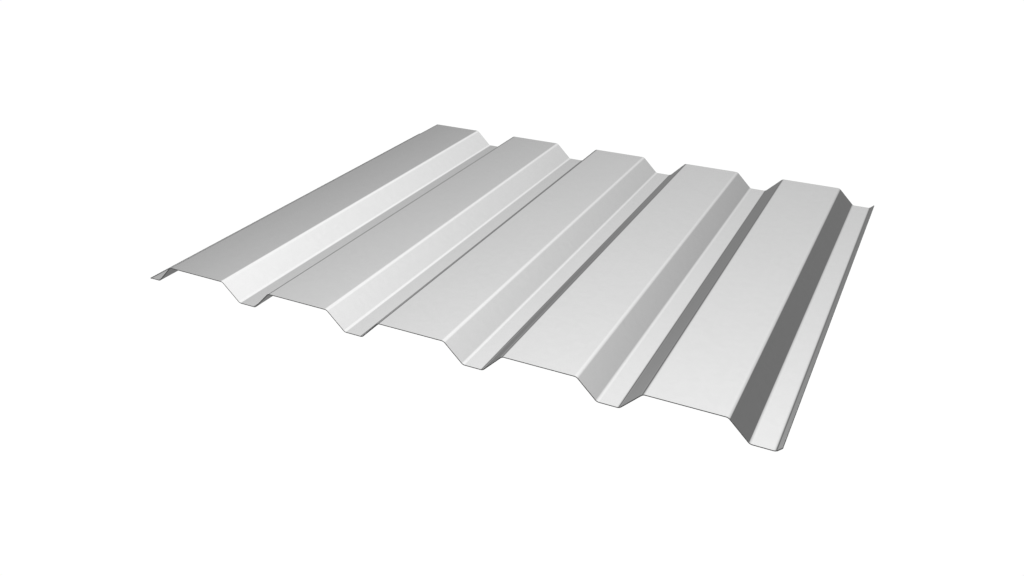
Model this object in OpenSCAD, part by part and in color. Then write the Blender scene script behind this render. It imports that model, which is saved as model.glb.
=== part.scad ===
// Trapezoidal corrugated metal sheet, roll-formed from one flat strip.
// The ribs run along Y, the width lies along X, and the troughs rest on Z = 0.

/* [Sheet] */
// Length of the sheet along its ribs
sheet_len = 840; // [300:10:6000]
// Thickness of the metal
sheet_t = 1.5; // [0.4:0.1:2]
// Inside radius of every bend
bend_r = 7; // [2:0.5:12]

/* [Ribs] */
// Number of ribs across the sheet
rib_count = 5; // [1:1:8]
// Distance from one rib to the next
rib_pitch = 200; // [180:1:300]
// Height of a rib above the troughs
rib_h = 30; // [15:0.5:40]
// Slope of the two webs of a rib, in degrees from flat
web_angle = 45; // [40:1:60]
// Width of a trough, from the foot of one rib to the foot of the next
trough_w = 31; // [20:0.5:50]

/* [Side laps] */
// Width of the flange along the left edge, which laps over the next sheet's last trough
flange_w = 20.4; // [16:0.2:30]
// Length of the drip along the edge of the flange, measured down its slope
drip_len = 4; // [3:0.1:8]
// Slope of the drip, in degrees from flat
drip_angle = 8; // [4:1:20]
// Width of the trough along the right edge, from the foot of the last rib to the foot of the lip
lap_w = 31.4; // [20:0.2:50]
// Length of the lip along the right edge, measured up its slope
lip_len = 10; // [8:0.1:20]
// Slope of the lip, in degrees from flat
lip_angle = 45; // [20:1:60]

/* [Hidden] */

// Largest turn of one straight step in a bend, in degrees
bend_step = 6;

// The section follows the middle of the metal's thickness
mid_r = bend_r + sheet_t / 2;
trough_z = sheet_t / 2;
crest_z = trough_z + rib_h;

// The flange stands above the troughs by as much as its drip comes down
drip_z = sheet_t / 2 * cos(drip_angle);
flange_z = drip_z + drip_len * sin(drip_angle);

// Half of a rib across its foot, and across its crest
foot_half = (rib_pitch - trough_w) / 2;
crest_half = foot_half - rib_h / tan(web_angle);

// Reach of the two edges from the middle of the row of ribs
row_half = (rib_count - 1) / 2 * rib_pitch + foot_half;
left_reach = row_half + flange_w + sheet_t / 2 * sin(drip_angle);
right_reach = row_half + lap_w + lip_len * cos(lip_angle) + sheet_t / 2 * sin(lip_angle);

// The sheet is centred across its whole width
row_x = (left_reach - right_reach) / 2;

function along(angle) = [cos(angle), sin(angle)];
function across(angle) = [-sin(angle), cos(angle)];
function heading(from, to) = atan2(to.y - from.y, to.x - from.x);

// Sharp corners of the section, from the left edge to the right edge
function rib_corners(x, left_z) = [
    [x - foot_half + (left_z - trough_z) / tan(web_angle), left_z],
    [x - crest_half, crest_z],
    [x + crest_half, crest_z],
    [x + foot_half, trough_z]
];
left_edge = [row_x - row_half - flange_w, drip_z];
lip_root = [row_x + row_half + lap_w, trough_z];
corners = concat(
    [left_edge, left_edge + drip_len * along(drip_angle)],
    [for (i = [0 : rib_count - 1])
        each rib_corners(row_x + (i - (rib_count - 1) / 2) * rib_pitch, i == 0 ? flange_z : trough_z)],
    [lip_root, lip_root + lip_len * along(lip_angle)]
);

// One bend as a row of stations, each a point at the middle of the metal and the direction there
function bend(before, corner, after) =
    let (start = heading(before, corner))
    let (turn = heading(corner, after) - start)
    let (side = sign(turn))
    let (steps = ceil(abs(turn) / bend_step))
    let (entry = corner - mid_r * tan(abs(turn) / 2) * along(start))
    let (centre = entry + side * mid_r * across(start))
    [for (i = [0 : steps])
        let (angle = start + turn * i / steps)
        [centre - side * mid_r * across(angle), angle]];

// The whole section: the two edges, with a bend at every corner between them
last = len(corners) - 1;
stations = concat(
    [[corners[0], heading(corners[0], corners[1])]],
    [for (i = [1 : last - 1]) each bend(corners[i - 1], corners[i], corners[i + 1])],
    [[corners[last], heading(corners[last - 1], corners[last])]]
);

// One face of the metal, set off from its middle
function face(offset) = [for (station = stations) station[0] + offset * across(station[1])];
function reversed(points) = [for (i = [len(points) - 1 : -1 : 0]) points[i]];

module section() {
    polygon(concat(face(sheet_t / 2), reversed(face(-sheet_t / 2))));
}

module profiled_sheet() {
    color("gainsboro")
        rotate([90, 0, 0])
            linear_extrude(sheet_len, center = true)
                section();
}

profiled_sheet();
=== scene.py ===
# %% [markdown]
# # A trapezoidal corrugated metal sheet
#
# This lesson dresses one roll-formed sheet. The real object is a single strip of thin zinc-coated steel
# that has been folded lengthwise into five flat-topped ribs, with a flat flange along the left edge and a
# small lip along the right one. The solid model of it is loaded first, as a fixed frame. Everything made
# here is measured in metres in that frame, with the ribs along Y and the troughs resting on Z = 0.

# %% Load the frame
import math

import bmesh
import bpy
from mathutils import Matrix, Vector


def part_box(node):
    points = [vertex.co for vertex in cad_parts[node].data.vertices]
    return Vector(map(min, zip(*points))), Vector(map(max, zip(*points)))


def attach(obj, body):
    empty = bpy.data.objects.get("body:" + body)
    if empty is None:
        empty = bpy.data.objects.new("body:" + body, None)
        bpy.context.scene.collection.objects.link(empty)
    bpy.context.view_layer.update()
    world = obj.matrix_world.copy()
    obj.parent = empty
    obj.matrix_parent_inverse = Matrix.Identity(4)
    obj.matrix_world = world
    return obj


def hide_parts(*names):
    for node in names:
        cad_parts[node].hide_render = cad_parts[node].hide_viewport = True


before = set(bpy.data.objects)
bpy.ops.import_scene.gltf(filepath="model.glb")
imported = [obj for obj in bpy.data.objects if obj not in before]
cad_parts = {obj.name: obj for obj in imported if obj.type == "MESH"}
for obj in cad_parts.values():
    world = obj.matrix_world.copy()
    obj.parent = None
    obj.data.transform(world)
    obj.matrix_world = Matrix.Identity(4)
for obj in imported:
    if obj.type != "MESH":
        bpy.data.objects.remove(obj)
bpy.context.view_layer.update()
low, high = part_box("profiled_sheet")
sheet_length = high.y - low.y
print("sheet", [round(1000 * size, 2) for size in high - low], "mm")

# %% [markdown]
# ## The camera
#
# The picture looks down on the sheet from the front right, at about 28 degrees. A camera can be aimed with
# a constraint or by eye, but it is easiest to repeat when it is written as a standpoint and two angles, so
# its turn is worked out from those. The lens is a mild wide angle, which is why the ribs draw together
# towards the back.

# %% Set the camera
CAMERA_STANDPOINT = Vector((0.611900, -1.34206, 0.683612))
CAMERA_AZIMUTH = math.radians(26.523)
CAMERA_ELEVATION = math.radians(27.836)
CAMERA_LENS = 31.850
SENSOR_WIDTH = 36

camera_data = bpy.data.cameras.new("camera")
camera_data.sensor_fit = "HORIZONTAL"
camera_data.sensor_width = SENSOR_WIDTH
camera_data.lens = CAMERA_LENS
camera = bpy.data.objects.new("camera", camera_data)
camera.location = CAMERA_STANDPOINT
camera.rotation_euler = (math.pi / 2 - CAMERA_ELEVATION, 0, CAMERA_AZIMUTH)
bpy.context.scene.collection.objects.link(camera)
bpy.context.scene.camera = camera
print("camera", round(CAMERA_STANDPOINT.length, 3), "m from the sheet's middle")

# %% [markdown]
# ## The strip, rolled fold by fold
#
# A rolling mill makes this profile by running a flat strip through pairs of rollers, and each pair turns
# one fold a little further. The same thing can be done by hand in edit mode: extrude the strip's free edge
# for a flat stretch, then spin it about the centre of a bend. Drawing a curve and sweeping it would also
# work, but extrude and spin give exact flats and true round bends, and every size stays a plain number.
#
# The strip is modelled on the middle of the metal. Its thickness comes later. It starts at the left edge
# with the drip: the last few millimetres of the lap flange are turned down a little, so that the edge
# presses on the sheet below and rain drips off it. The flange stands as much higher than the troughs, and
# the edge of the drip is level with them.

# %% Sizes of the profile
METAL = 0.0015
BEND_INSIDE = 0.007
BEND_STEP = math.radians(6)
RIBS = 5
RIB_SPACING = 0.2
RIB_HEIGHT = 0.03
TROUGH = 0.031
SLOPE = math.radians(45)
FLANGE = 0.0204
DRIP = 0.004
DRIP_SLOPE = math.radians(8)
LAP_TROUGH = 0.0314
LIP = 0.01
LIP_SLOPE = math.radians(45)

bend_radius = BEND_INSIDE + METAL / 2
bend_reach = bend_radius * math.tan(SLOPE / 2)
lip_reach = bend_radius * math.tan(LIP_SLOPE / 2)
drip_reach = bend_radius * math.tan(DRIP_SLOPE / 2)
crest = RIB_SPACING - TROUGH - 2 * RIB_HEIGHT / math.tan(SLOPE)
flange_rise = DRIP * math.sin(DRIP_SLOPE) - METAL / 2 * (1 - math.cos(DRIP_SLOPE))
print("crest", round(1000 * crest, 2), "mm, flange", round(1000 * flange_rise, 2), "mm above the troughs")


# %% Start with the drip
def select_only(piece):
    """Deselects everything, then selects one object and makes it the active one."""
    bpy.ops.object.select_all(action="DESELECT")
    piece.select_set(True)
    bpy.context.view_layer.objects.active = piece


def along(heading):
    """One metre in the strip's direction, seen from its front end."""
    return Vector((math.cos(heading), 0, math.sin(heading)))


def across(heading):
    """One metre square to the strip's direction, on its upper side."""
    return Vector((-math.sin(heading), 0, math.cos(heading)))


drip_flat = DRIP - drip_reach
left_edge = Vector((low.x, 0, low.z)) + METAL / 2 * across(-DRIP_SLOPE)
drip_middle = left_edge + drip_flat / 2 * along(DRIP_SLOPE)
bpy.ops.object.select_all(action="DESELECT")
bpy.ops.mesh.primitive_plane_add(size=1, location=drip_middle, rotation=(0, -DRIP_SLOPE, 0))
sheet = bpy.context.object
sheet.name = "galvanised_sheet"
sheet.scale = (drip_flat, sheet_length, 1)
bpy.ops.object.transform_apply(location=True, rotation=True, scale=True)

bpy.ops.object.mode_set(mode="EDIT")
bpy.ops.mesh.select_mode(type="EDGE")
bpy.ops.mesh.select_all(action="DESELECT")
strip = bmesh.from_edit_mesh(sheet.data)
for edge in strip.edges:
    edge.select = all(corner.co.x > drip_middle.x for corner in edge.verts)
bmesh.update_edit_mesh(sheet.data)
print("drip", round(1000 * drip_flat, 2), "mm flat, before its bend")


# %% Roll the flats and bends
def roll_flat(free_edge, heading, length):
    """Extrudes the free edge straight on, and returns where it then lies."""
    move = length * along(heading)
    bpy.ops.mesh.extrude_edges_move(TRANSFORM_OT_translate={"value": move})
    return free_edge + move


def roll_bend(free_edge, heading, turn):
    """Spins the free edge about the centre of a bend, and returns where it then lies."""
    side = math.copysign(bend_radius, turn)
    centre = free_edge + side * across(heading)
    steps = math.ceil(abs(turn) / BEND_STEP)
    bpy.ops.mesh.spin(steps=steps, angle=turn, center=centre, axis=(0, 1, 0))
    return centre - side * across(heading + turn)


free_edge = roll_bend(left_edge + drip_flat * along(DRIP_SLOPE), DRIP_SLOPE, -DRIP_SLOPE)
flange_flat = FLANGE + flange_rise / math.tan(SLOPE) - DRIP * math.cos(DRIP_SLOPE) - drip_reach - bend_reach
free_edge = roll_flat(free_edge, 0, flange_flat)
for rib in range(RIBS):
    rise = RIB_HEIGHT if rib else RIB_HEIGHT - flange_rise
    free_edge = roll_bend(free_edge, 0, SLOPE)
    free_edge = roll_flat(free_edge, SLOPE, rise / math.sin(SLOPE) - 2 * bend_reach)
    free_edge = roll_bend(free_edge, SLOPE, -SLOPE)
    free_edge = roll_flat(free_edge, 0, crest - 2 * bend_reach)
    free_edge = roll_bend(free_edge, 0, -SLOPE)
    free_edge = roll_flat(free_edge, -SLOPE, RIB_HEIGHT / math.sin(SLOPE) - 2 * bend_reach)
    free_edge = roll_bend(free_edge, -SLOPE, SLOPE)
    if rib < RIBS - 1:
        free_edge = roll_flat(free_edge, 0, TROUGH - 2 * bend_reach)
free_edge = roll_flat(free_edge, 0, LAP_TROUGH - bend_reach - lip_reach)
free_edge = roll_bend(free_edge, 0, LIP_SLOPE)
free_edge = roll_flat(free_edge, LIP_SLOPE, LIP - lip_reach)
print("the lip ends at", [round(1000 * v, 3) for v in free_edge], "mm")

# %% Join the stretches into one strip
SAME_PLACE = 1e-6

bpy.ops.mesh.select_all(action="SELECT")
bpy.ops.mesh.remove_doubles(threshold=SAME_PLACE)
bpy.ops.mesh.normals_make_consistent(inside=False)
bpy.ops.object.mode_set(mode="OBJECT")
if sum(face.normal.z * face.area for face in sheet.data.polygons) < 0:
    sheet.data.flip_normals()
print("strip", len(sheet.data.polygons), "faces")

# %% [markdown]
# ## Measuring the flat strip
#
# The zinc was on the strip before it was folded, so its crystals and rolling marks follow the metal round
# every bend. A pattern on plain object coordinates would be squeezed on the sloping webs. So each corner of
# the strip is told how far it lay from the left edge while the strip was flat, and that becomes a UV map in
# metres.

# %% Developed distance of every corner
stations = sorted(sheet.data.vertices, key=lambda corner: (corner.co.y > 0, corner.co.x))
developed = {}
for before, corner in zip([None] + stations, stations):
    first = before is None or before.co.y * corner.co.y < 0
    developed[corner.index] = 0 if first else developed[before.index] + (corner.co - before.co).length
strip_corners = len(stations)
print("the flat strip was", round(1000 * max(developed.values()), 1), "mm wide")

# %% [markdown]
# ## Thickness and edges
#
# Solidify gives the strip its gauge on both sides of the middle line, with even thickness so that the bends
# keep it too. The rim that it adds is the sheared edge of the metal, which gets its own material slot. Rim
# and skin share one UV map: on the skin it measures the flat strip, and on the rim it runs along the cut in
# one direction and up through the metal in the other.

# %% Thicken the strip
def apply_modifier(piece, kind, **settings):
    """Adds a modifier with these settings and applies it."""
    select_only(piece)
    modifier = piece.modifiers.new(kind.lower(), kind)
    for name, value in settings.items():
        setattr(modifier, name, value)
    bpy.ops.object.modifier_apply(modifier=modifier.name)


zinc = bpy.data.materials.new("satin_zinc")
cut_steel = bpy.data.materials.new("sheared_steel")
sheet.data.materials.append(zinc)
sheet.data.materials.append(cut_steel)
apply_modifier(sheet, "SOLIDIFY", thickness=METAL, offset=0, use_even_offset=True, use_rim=True,
               material_offset_rim=1)
rim = [face for face in sheet.data.polygons if face.material_index == 1]
print("sheet", len(sheet.data.polygons), "faces, of which", len(rim), "are its cut edge")

# %% Lay out the UV map
while sheet.data.uv_layers:
    sheet.data.uv_layers.remove(sheet.data.uv_layers[0])
flat_strip = sheet.data.uv_layers.new(name="flat_strip")
for face in sheet.data.polygons:
    for loop in face.loop_indices:
        index = sheet.data.loops[loop].vertex_index
        width = developed[index % strip_corners]
        length = sheet.data.vertices[index].co.y - low.y
        if face.material_index == 0:
            flat_strip.data[loop].uv = (width, length)
        else:
            run = width if abs(face.normal.y) > 0.5 else length
            flat_strip.data[loop].uv = (run, METAL if index < strip_corners else 0)
upper = sheet.data.vertices[0].co.z > sheet.data.vertices[strip_corners].co.z
print("UV map in metres; the first side of the metal is the", "upper" if upper else "lower", "one")

# %% [markdown]
# A sheared edge is never a knife edge, so a bevel a tenth of a millimetre wide breaks it. The bends are
# shaded smooth, and weighted normals keep the wide flats truly flat, which shows at once in a metal that
# mirrors its surroundings.

# %% Break the edges and smooth the bends
EDGE_BREAK = 0.0001
CUT_CORNER = math.radians(60)
SMOOTH_UP_TO = math.radians(50)

apply_modifier(sheet, "BEVEL", width=EDGE_BREAK, segments=2, limit_method="ANGLE", angle_limit=CUT_CORNER)
select_only(sheet)
bpy.ops.object.shade_smooth_by_angle(angle=SMOOTH_UP_TO)
apply_modifier(sheet, "WEIGHTED_NORMAL", mode="FACE_AREA", weight=100, keep_sharp=True)
print("sheet", len(sheet.data.polygons), "faces with its edges broken")

# %% Seat the sheet on its body
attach(sheet, "root")
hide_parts("profiled_sheet")
print(sheet.name, "stands for the solid sheet")


# %% [markdown]
# ## Grain of rolled metal
#
# Rolled metal is never one flat tone. Zinc freezes in crystals a few millimetres across, the rollers leave
# faint lines along the strip, and handling leaves a wide, soft haze. All three show on the coated skin and
# on the cut edge, in different strengths, so they are built once as a node group: a Voronoi cell pattern
# with wandering borders, a noise stretched along the strip, and a slow noise. The group only puts out
# masks. Each material decides what to do with them.

# %% Helpers for nodes
def add_node(tree, kind, label, **sockets):
    """Adds a node and sets its input sockets, where a space in a socket's name is written as _."""
    node = tree.nodes.new(kind)
    node.label = label
    for name, value in sockets.items():
        node.inputs[name.replace("_", " ")].default_value = value
    return node


def add_math(tree, label, operation, *terms):
    """Adds a math node whose terms are numbers or the sockets of other nodes."""
    node = add_node(tree, "ShaderNodeMath", label)
    node.operation = operation
    for socket, term in zip(node.inputs, terms):
        if isinstance(term, (int, float)):
            socket.default_value = term
        else:
            tree.links.new(term, socket)
    return node.outputs[0]


# %% Build the grain group
BORDER_WANDER = 0.004
WANDERS_PER_METRE = 300
LINE_STRETCH = 250

grain = bpy.data.node_groups.new("rolled_metal_grain", "ShaderNodeTree")
grain.interface.new_socket("Place", in_out="INPUT", socket_type="NodeSocketVector")
for name, default in (("Crystals per Metre", 120), ("Lines per Metre", 350), ("Haze per Metre", 7)):
    grain.interface.new_socket(name, in_out="INPUT", socket_type="NodeSocketFloat").default_value = default
for name in ("Crystals", "Lines", "Haze"):
    grain.interface.new_socket(name, in_out="OUTPUT", socket_type="NodeSocketFloat")
place = add_node(grain, "NodeGroupInput", "place")
masks = add_node(grain, "NodeGroupOutput", "masks")

wander = add_node(grain, "ShaderNodeTexNoise", "wandering borders", Scale=WANDERS_PER_METRE, Detail=2)
shifted = add_node(grain, "ShaderNodeVectorMath", "shift borders")
shifted.operation = "MULTIPLY_ADD"
shifted.inputs[1].default_value = (BORDER_WANDER, BORDER_WANDER, 0)
crystals = add_node(grain, "ShaderNodeTexVoronoi", "zinc crystals")
crystals.voronoi_dimensions = "2D"
shade = add_node(grain, "ShaderNodeSeparateColor", "tone of each crystal")
stretch = add_node(grain, "ShaderNodeMapping", "stretch along the strip", Scale=(1, 1 / LINE_STRETCH, 1))
lines = add_node(grain, "ShaderNodeTexNoise", "roller lines", Detail=3)
haze = add_node(grain, "ShaderNodeTexNoise", "handling haze", Detail=3)
for output, socket in (
    (place.outputs["Place"], wander.inputs["Vector"]),
    (wander.outputs["Color"], shifted.inputs[0]),
    (place.outputs["Place"], shifted.inputs[2]),
    (shifted.outputs[0], crystals.inputs["Vector"]),
    (place.outputs["Crystals per Metre"], crystals.inputs["Scale"]),
    (crystals.outputs["Color"], shade.inputs[0]),
    (shade.outputs[0], masks.inputs["Crystals"]),
    (place.outputs["Place"], stretch.inputs["Vector"]),
    (stretch.outputs[0], lines.inputs["Vector"]),
    (place.outputs["Lines per Metre"], lines.inputs["Scale"]),
    (lines.outputs["Fac"], masks.inputs["Lines"]),
    (place.outputs["Place"], haze.inputs["Vector"]),
    (place.outputs["Haze per Metre"], haze.inputs["Scale"]),
    (haze.outputs["Fac"], masks.inputs["Haze"]),
):
    grain.links.new(output, socket)
print("grain group with", len(grain.nodes), "nodes")


# %% Place the grain in a material
def start_metal(material, **scales):
    """Gives a material its shader and its own copy of the grain, and returns both."""
    material.use_nodes = True
    tree = material.node_tree
    shader = tree.nodes["Principled BSDF"]
    shader.inputs["Metallic"].default_value = 1
    strip_map = add_node(tree, "ShaderNodeUVMap", "flat strip")
    strip_map.uv_map = "flat_strip"
    marks = tree.nodes.new("ShaderNodeGroup")
    marks.node_tree = grain
    for name, value in scales.items():
        marks.inputs[name.replace("_", " ")].default_value = value
    tree.links.new(strip_map.outputs[0], marks.inputs["Place"])
    return tree, shader, strip_map, marks


def weigh(tree, label, middle, marks, swings):
    """Swings a value about its middle by the grain's masks, each by its own amount."""
    total = middle - sum(swing for mask, swing in swings) / 2
    for mask, swing in swings:
        total = add_math(tree, label, "MULTIPLY_ADD", marks.outputs[mask], swing, total)
    return total


# %% [markdown]
# ## The zinc skin
#
# The skin is a clean, bright zinc with a satin gloss, neutral grey, and so even that its crystals barely
# show. It mirrors the room softly, and its brightness changes far more with the slope of the metal than
# with any mark on it. It is a metal at full strength, with the grain swinging its grey by about one part in
# a hundred and its roughness a little more. Bare metal turns white at a glancing view, but this dull skin
# doesn't, so its edge tint is turned down.

# %% Finish the skin
ZINC_GREY = 0.573
ZINC_EDGE_TINT = 0.88
ZINC_ROUGHNESS = 0.08
ROLL_MARK_DEPTH = 4e-7
GREY_SWINGS = (("Crystals", 0.01), ("Lines", 0.01), ("Haze", 0.012))
ROUGHNESS_SWINGS = (("Crystals", 0.01), ("Haze", 0.02))

tree, shader, strip_map, marks = start_metal(zinc)
tone = weigh(tree, "grey", ZINC_GREY, marks, GREY_SWINGS)
gloss = weigh(tree, "roughness", ZINC_ROUGHNESS, marks, ROUGHNESS_SWINGS)
relief = add_node(tree, "ShaderNodeBump", "roll marks", Distance=ROLL_MARK_DEPTH)
tree.links.new(tone, shader.inputs["Base Color"])
tree.links.new(gloss, shader.inputs["Roughness"])
tree.links.new(marks.outputs["Lines"], relief.inputs["Height"])
tree.links.new(relief.outputs[0], shader.inputs["Normal"])
shader.inputs["Specular Tint"].default_value = (ZINC_EDGE_TINT, ZINC_EDGE_TINT, ZINC_EDGE_TINT, 1)
print("zinc skin, grey", ZINC_GREY, "roughness", ZINC_ROUGHNESS)

# %% [markdown]
# ## The cut edge
#
# A shear pushes part of the way through the metal and leaves a smooth, burnished band. Then the rest tears,
# and the torn band is darker, dull and grainy. The line between the two bands wanders along the cut. The UV
# map already measures up through the metal, so a ramp over that height, pushed about by the grain, gives
# both bands. Modelling the tear would take thousands of faces for a line that is seen one pixel wide.

# %% Finish the cut edge
BURNISHED_GREY = 0.34
TORN_GREY = 0.16
BURNISHED_ROUGHNESS = 0.3
TORN_ROUGHNESS = 0.6
TEAR_HEIGHT = 0.6
TEAR_SOFTNESS = 0.12
TEAR_WANDER = 0.3
TEAR_RELIEF = 0.00004
GRIT_SWING = 0.06
LINE_SWING = 0.04

tree, shader, strip_map, marks = start_metal(cut_steel, Crystals_per_Metre=2500, Lines_per_Metre=1200,
                                             Haze_per_Metre=90)
through = add_node(tree, "ShaderNodeSeparateXYZ", "height in the metal")
tree.links.new(strip_map.outputs[0], through.inputs[0])
height = add_math(tree, "share of the thickness", "DIVIDE", through.outputs["Y"], METAL)
height = add_math(tree, "wandering line", "MULTIPLY_ADD", marks.outputs["Haze"], TEAR_WANDER, height)
tear = TEAR_HEIGHT + TEAR_WANDER / 2
burnished = add_node(tree, "ShaderNodeMapRange", "burnished band", From_Min=tear - TEAR_SOFTNESS,
                     From_Max=tear + TEAR_SOFTNESS)
tree.links.new(height, burnished.inputs["Value"])
torn = add_math(tree, "torn band", "SUBTRACT", 1, burnished.outputs[0])
grit = add_math(tree, "grit of the tear", "MULTIPLY", torn, marks.outputs["Crystals"])
tone = add_math(tree, "grey", "MULTIPLY_ADD", burnished.outputs[0], BURNISHED_GREY - TORN_GREY,
                TORN_GREY - GRIT_SWING / 2)
tone = add_math(tree, "grey with grit", "MULTIPLY_ADD", grit, GRIT_SWING, tone)
tone = add_math(tree, "grey with lines", "MULTIPLY_ADD", marks.outputs["Lines"], LINE_SWING, tone)
gloss = add_math(tree, "roughness", "MULTIPLY_ADD", torn, TORN_ROUGHNESS - BURNISHED_ROUGHNESS,
                 BURNISHED_ROUGHNESS)
relief = add_node(tree, "ShaderNodeBump", "tear", Distance=TEAR_RELIEF)
tree.links.new(tone, shader.inputs["Base Color"])
tree.links.new(gloss, shader.inputs["Roughness"])
tree.links.new(grit, relief.inputs["Height"])
tree.links.new(relief.outputs[0], shader.inputs["Normal"])
print("cut edge,", round(1000 * METAL, 2), "mm, burnished above", TEAR_HEIGHT, "of its height")

# %% [markdown]
# ## The floor
#
# The sheet is pictured on plain white, with no shadow under it, as on a white table that is lit from below
# until it burns out. A white floor under strong lamps would do the same, but the lamps would show in the
# metal. So the floor is a wide plane that glows evenly, a touch brighter than full white.

# %% Lay the floor
FLOOR_SIZE = 40
FLOOR_DROP = 0.0002
WHITE = 1.02

bpy.ops.object.select_all(action="DESELECT")
bpy.ops.mesh.primitive_plane_add(size=FLOOR_SIZE, location=(0, 0, low.z - FLOOR_DROP))
floor = bpy.context.object
floor.name = "studio_floor"
bpy.ops.object.transform_apply(location=True, rotation=True, scale=True)
floor_white = bpy.data.materials.new("studio_floor")
floor.data.materials.append(floor_white)
floor_white.use_nodes = True
tree = floor_white.node_tree
tree.nodes.clear()
glow = add_node(tree, "ShaderNodeEmission", "plain white", Color=(1, 1, 1, 1), Strength=WHITE)
out = add_node(tree, "ShaderNodeOutputMaterial", "output")
tree.links.new(glow.outputs[0], out.inputs["Surface"])
print("floor", FLOOR_SIZE, "m across,", round(1000 * FLOOR_DROP, 2), "mm under the troughs")

# %% [markdown]
# ## The studio dome
#
# A mirror-like sheet is lit by what it reflects, so the light is a dome and not a lamp. A lamp or two would
# draw hard bright shapes in the metal. Every face of the sheet runs along the ribs, so what counts most is
# the angle round them: 0 degrees is straight overhead, 90 is level on the right and -90 is level on the
# left.
#
# The room is dim and even. Over the ribs hangs one broad light that grows from the horizon upwards. From
# about 40 degrees up it stays level, so that the wide faces don't burn out when they are seen from higher
# up. On the right the light stops with a clear edge, which is what makes the last web so deep a grey. On
# the left it fades out, first slowly and then fast, which darkens the left-hand crests.

# %% Find the angle round the ribs
world = bpy.data.worlds.new("studio_dome")
bpy.context.scene.world = world
world.use_nodes = True
tree = world.node_tree
tree.nodes.clear()
direction = add_node(tree, "ShaderNodeTexCoord", "direction")
axes = add_node(tree, "ShaderNodeSeparateXYZ", "parts of the direction")
tree.links.new(direction.outputs["Generated"], axes.inputs[0])
angle = add_math(tree, "angle round the ribs", "ARCTAN2", axes.outputs["X"], axes.outputs["Z"])
height = add_math(tree, "height over the horizon", "MAXIMUM", axes.outputs["Z"], 0)
print("dome nodes", len(tree.nodes))

# %% Give the broad light its two edges
RIGHT_EDGE = math.radians(66)
EDGE_WIDTH = math.radians(1)
LEFT_EDGE = math.radians(-65)
LEFT_FADE = math.radians(9)

right = add_node(tree, "ShaderNodeMapRange", "clear right edge", From_Min=RIGHT_EDGE - EDGE_WIDTH / 2,
                 From_Max=RIGHT_EDGE + EDGE_WIDTH / 2, To_Min=1, To_Max=0)
tree.links.new(angle, right.inputs["Value"])
beyond = add_math(tree, "fades beyond the edge", "MULTIPLY_ADD", angle, -1 / LEFT_FADE, LEFT_EDGE / LEFT_FADE)
lost = add_math(tree, "share lost", "EXPONENT", beyond)
left = add_math(tree, "share kept", "SUBTRACT", 1, lost)
left = add_math(tree, "soft left edge", "MAXIMUM", left, 0)
edges = add_math(tree, "both edges", "MULTIPLY", left, right.outputs[0])
print("broad light from", round(math.degrees(LEFT_EDGE)), "to", round(math.degrees(RIGHT_EDGE)), "degrees")

# %% Hang the broad light
OVERHEAD_LIGHT = 2.03
TOP_HEIGHT = 0.66
TOP_ROUNDING = 0.1

level_top = add_math(tree, "level top", "SMOOTH_MIN", height, TOP_HEIGHT, TOP_ROUNDING)
strength = add_math(tree, "light within its edges", "MULTIPLY", edges, OVERHEAD_LIGHT)
print("level from", round(math.degrees(math.asin(TOP_HEIGHT))), "degrees over the horizon")

# %% [markdown]
# In the picture, the rising webs and the lip mirror what lies low on the left, just below the horizon. In a
# real room pale things would stand there, and a second light takes their place. It falls off fast towards
# the far end of the ribs, so the lip and the last rising web are paler in front than at the back.

# %% Add the low light
LOW_LIGHT = 2.6
LOW_MIDDLE = math.radians(-103)
LOW_REACH = math.radians(20)

aside = add_math(tree, "turn from the low light", "SUBTRACT", angle, LOW_MIDDLE)
aside = add_math(tree, "turn to either side", "ABSOLUTE", aside)
spot = add_node(tree, "ShaderNodeMapRange", "low light", From_Max=LOW_REACH, To_Min=LOW_LIGHT, To_Max=0)
spot.interpolation_type = "SMOOTHSTEP"
tree.links.new(aside, spot.inputs["Value"])
along_ribs = add_math(tree, "along the ribs, squared", "MULTIPLY", axes.outputs["Y"], axes.outputs["Y"])
off_ribs = add_math(tree, "off the ribs, squared", "SUBTRACT", 1, along_ribs)
fall = add_math(tree, "fall to the far end", "MULTIPLY", off_ribs, off_ribs)
low_light = add_math(tree, "low light that falls off", "MULTIPLY", spot.outputs[0], fall)
print("low light at", round(math.degrees(LOW_MIDDLE)), "degrees")

# %% [markdown]
# These two lights fill the back half of the dome, which is the half that the picture's view mirrors. If
# they reached over the front half too, the crests and webs would be almost white from above, from the sides
# and from behind. So the front half has a softer light without edges, and the two halves melt into each
# other.

# %% Join the two halves of the dome
ROOM_LIGHT = 0.275
SOFT_OVERHEAD = 1.1
FRONT_ENDS = 0.44
BACK_STARTS = 0.575

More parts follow.
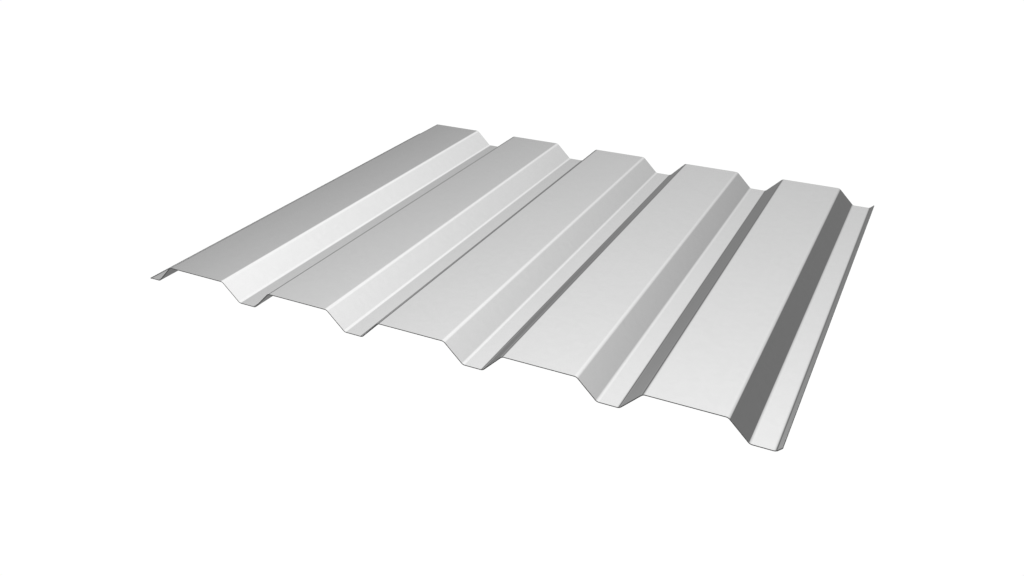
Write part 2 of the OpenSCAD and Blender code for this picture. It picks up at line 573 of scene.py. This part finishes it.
bright = add_math(tree, "light behind", "MULTIPLY_ADD", strength, level_top, low_light)
soft = add_math(tree, "soft light in front", "MULTIPLY", height, SOFT_OVERHEAD)
behind = add_node(tree, "ShaderNodeMapRange", "how far behind", From_Min=FRONT_ENDS, From_Max=BACK_STARTS)
behind.interpolation_type = "SMOOTHSTEP"
tree.links.new(axes.outputs["Y"], behind.inputs["Value"])
stronger = add_math(tree, "stronger behind", "SUBTRACT", bright, soft)
light = add_math(tree, "both halves", "MULTIPLY_ADD", stronger, behind.outputs[0], soft)
light = add_math(tree, "light with its room", "ADD", light, ROOM_LIGHT)
print("room", ROOM_LIGHT, "and overhead in front", round(ROOM_LIGHT + SOFT_OVERHEAD, 3))

# %% [markdown]
# Seen directly, the dome should be the same plain white as the floor, so that no horizon shows in a low
# view. The light path tells the two apart: white for a direct look, and the dome for everything that is
# mirrored.

# %% Hide the dome behind white
dome = add_node(tree, "ShaderNodeBackground", "dome", Color=(1, 1, 1, 1))
tree.links.new(light, dome.inputs["Strength"])
white = add_node(tree, "ShaderNodeBackground", "plain white", Color=(1, 1, 1, 1), Strength=WHITE)
look = add_node(tree, "ShaderNodeLightPath", "direct look or mirrored")
choice = add_node(tree, "ShaderNodeMixShader", "white or dome")
out = add_node(tree, "ShaderNodeOutputWorld", "output")
tree.links.new(look.outputs["Is Camera Ray"], choice.inputs[0])
tree.links.new(dome.outputs[0], choice.inputs[1])
tree.links.new(white.outputs[0], choice.inputs[2])
tree.links.new(choice.outputs[0], out.inputs["Surface"])
bpy.context.scene.view_settings.view_transform = "Standard"
print("white horizon, dome with", len(tree.nodes), "nodes")

# %% [markdown]
# A skin as bright as this would mirror itself in every valley, rib against rib, and draw stripes and
# sparkle there. The picture has none of that: each web shows one smooth tone. A rougher skin would blur the
# stripes, but it would dull the bright lines along the bends as well. So the sheet and the floor are left
# out of the reflections and throw no shadow, and the metal mirrors the dome alone.

# %% Mirror the dome alone
for piece in (sheet, floor):
    piece.visible_glossy = False
    piece.visible_shadow = False
print("left out of the reflections:", sheet.name, "and", floor.name)
